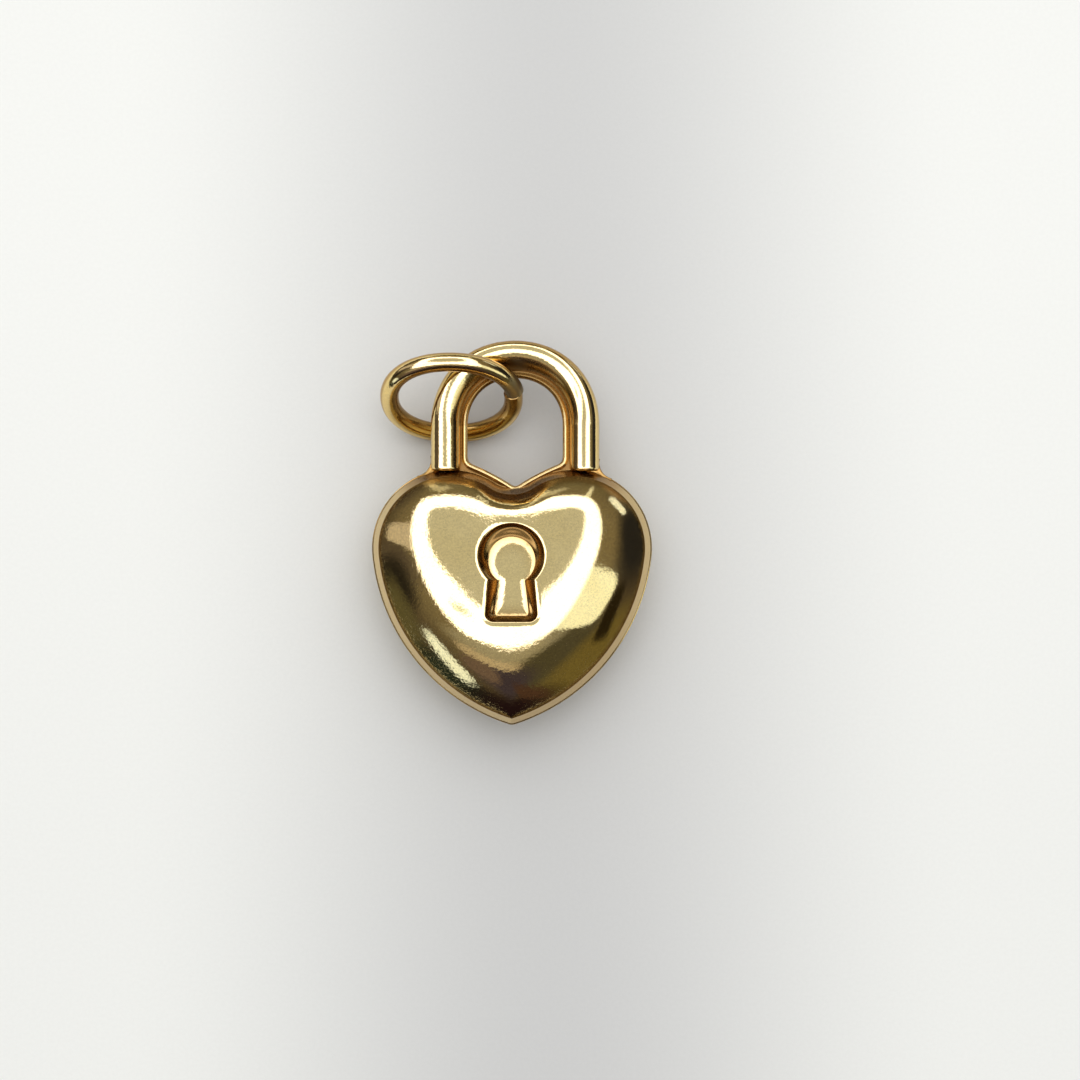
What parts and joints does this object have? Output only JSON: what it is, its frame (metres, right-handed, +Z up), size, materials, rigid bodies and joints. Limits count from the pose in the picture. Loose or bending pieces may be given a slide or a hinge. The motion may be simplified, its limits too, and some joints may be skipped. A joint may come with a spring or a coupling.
{
  "type": "heart padlock pendant with jump ring",
  "caption": "Puffed polished gold heart padlock pendant with a pressed keyhole, a round U-shaped shackle and an oval wire jump ring through it, lying on its back.",
  "frame": {"origin": "on the surface the pendant lies on, under the middle of its bounding box", "axes": "+Z up out of the heart's front, +Y from the heart's tip to the shackle, +X to the right seen from the front"},
  "size_m": [0.015, 0.0206, 0.0064],
  "materials": {
    "polished_gold": "polished, with fine wear scratches",
    "ring_gold": "polished, slightly tarnished at the joint"
  },
  "bodies": {
    "root": {"heart_padlock": "polished_gold", "jump_ring": "ring_gold"}
  },
  "joints": []
}
